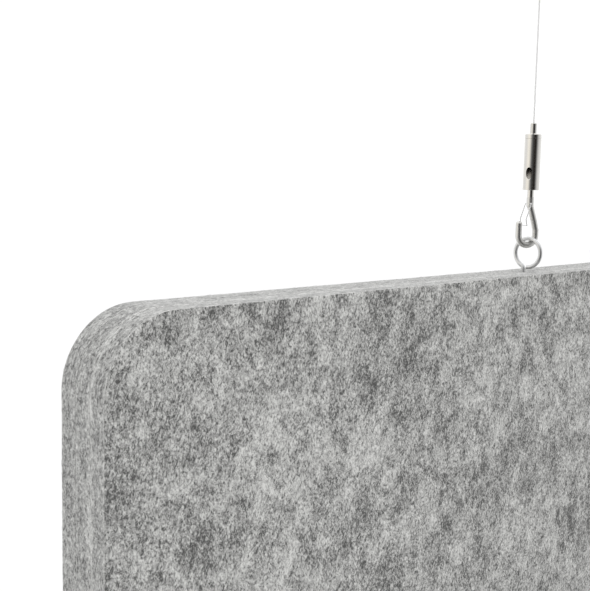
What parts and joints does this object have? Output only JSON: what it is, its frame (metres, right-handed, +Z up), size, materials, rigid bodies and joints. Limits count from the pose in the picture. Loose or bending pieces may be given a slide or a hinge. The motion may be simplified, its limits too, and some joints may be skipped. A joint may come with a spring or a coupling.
{
  "type": "hanging acoustic panel",
  "caption": "Thick felt panel with rounded corners, hung from a ceiling on steel wires by adjustable wire grippers, snap hooks and screw eyes, that absorbs sound and screens a space.",
  "frame": {"origin": "on the ceiling plane, midway between the two ceiling fittings", "axes": "+X along the panel's length, +Y towards its rear face, +Z up"},
  "size_m": [1.2, 0.03, 0.7852],
  "materials": {
    "felt": "matt grey needle-punched felt, mottled",
    "bond_film": "clear matt adhesive web",
    "nylon": "matt natural nylon",
    "zinc_plated_steel": "bright zinc plate",
    "hook_nickel": "nickel plate, slightly dull",
    "spring_steel": "bright drawn steel",
    "bright_nickel": "polished nickel plate",
    "plunger_steel": "turned steel",
    "wire_steel": "bright stranded steel wire"
  },
  "bodies": {
    "ceiling": {"left_ceiling_base": "bright_nickel", "left_ceiling_cap": "bright_nickel", "right_ceiling_base": "bright_nickel", "right_ceiling_cap": "bright_nickel"},
    "left_line": {"left_wire": "wire_steel", "left_stop_ball": "plunger_steel"},
    "right_line": {"right_wire": "wire_steel", "right_stop_ball": "plunger_steel"},
    "left_hook": {"left_hook": "hook_nickel", "left_swivel_stem": "bright_nickel"},
    "left_gripper": {"left_gripper_housing": "bright_nickel", "left_gripper_nose": "bright_nickel", "left_collar": "bright_nickel", "left_plunger_spring": "spring_steel"},
    "left_plunger": {"left_plunger": "plunger_steel", "left_clamp_balls": "spring_steel"},
    "left_gate": {"left_gate": "spring_steel"},
    "right_hook": {"right_hook": "hook_nickel", "right_swivel_stem": "bright_nickel"},
    "right_gripper": {"right_gripper_housing": "bright_nickel", "right_gripper_nose": "bright_nickel", "right_collar": "bright_nickel", "right_plunger_spring": "spring_steel"},
    "right_plunger": {"right_plunger": "plunger_steel", "right_clamp_balls": "spring_steel"},
    "right_gate": {"right_gate": "spring_steel"},
    "panel": {"front_felt_ply": "felt", "core_felt_ply": "felt", "rear_felt_ply": "felt", "front_bond_film": "bond_film", "rear_bond_film": "bond_film", "left_anchor_block": "nylon", "right_anchor_block": "nylon", "left_screw_eye": "zinc_plated_steel", "right_screw_eye": "zinc_plated_steel"}
  },
  "joints": [
    {"name": "left_swing", "type": "hinge", "parent": "ceiling", "child": "left_line", "pos_m": [-0.3, 0, -0.01557], "axis": [1, 0, 0], "range_deg": [-15, 15]},
    {"name": "left_height", "type": "slide", "parent": "left_line", "child": "left_hook", "axis": [0, 0, 1], "range_m": [0, 0.06], "deforming": ["left_wire"]},
    {"name": "left_swivel", "type": "hinge", "parent": "left_hook", "child": "left_gripper", "pos_m": [-0.3, 0, -0.1353], "axis": [0, 0, 1], "continuous": true},
    {"name": "left_release", "type": "slide", "parent": "left_gripper", "child": "left_plunger", "axis": [0, 0, -1], "range_m": [0, 0.002], "stiffness_N_per_m": 800, "springref_m": -0.003, "deforming": ["left_plunger_spring"]},
    {"name": "left_gate_hinge", "type": "hinge", "parent": "left_hook", "child": "left_gate", "pos_m": [-0.30091, 0.00042, -0.1457], "axis": [-0.4226, -0.9063, 0], "range_deg": [0, 20], "stiffness_Nm_per_rad": 0.02, "springref_deg": -17.19},
    {"name": "right_swing", "type": "hinge", "parent": "ceiling", "child": "right_line", "pos_m": [0.3, 0, -0.01557], "axis": [1, 0, 0], "range_deg": [-15, 15]},
    {"name": "right_height", "type": "slide", "parent": "right_line", "child": "right_hook", "axis": [0, 0, 1], "range_m": [0, 0.06], "deforming": ["right_wire"]},
    {"name": "right_swivel", "type": "hinge", "parent": "right_hook", "child": "right_gripper", "pos_m": [0.3, 0, -0.1353], "axis": [0, 0, 1], "continuous": true},
    {"name": "right_release", "type": "slide", "parent": "right_gripper", "child": "right_plunger", "axis": [0, 0, -1], "range_m": [0, 0.002], "stiffness_N_per_m": 800, "springref_m": -0.003, "deforming": ["right_plunger_spring"]},
    {"name": "right_gate_hinge", "type": "hinge", "parent": "right_hook", "child": "right_gate", "pos_m": [0.29909, 0.00042, -0.1457], "axis": [-0.4226, -0.9063, 0], "range_deg": [0, 20], "stiffness_Nm_per_rad": 0.02, "springref_deg": -17.19},
    {"name": "panel_tilt", "type": "hinge", "parent": "left_hook", "child": "panel", "pos_m": [-0.3, 0, -0.17424], "axis": [1, 0, 0], "range_deg": [-25, 25]}
  ],
  "couplings": [
    {"joint": "right_swing", "follows": "left_swing", "ratio": 1},
    {"joint": "right_height", "follows": "left_height", "ratio": 1}
  ]
}
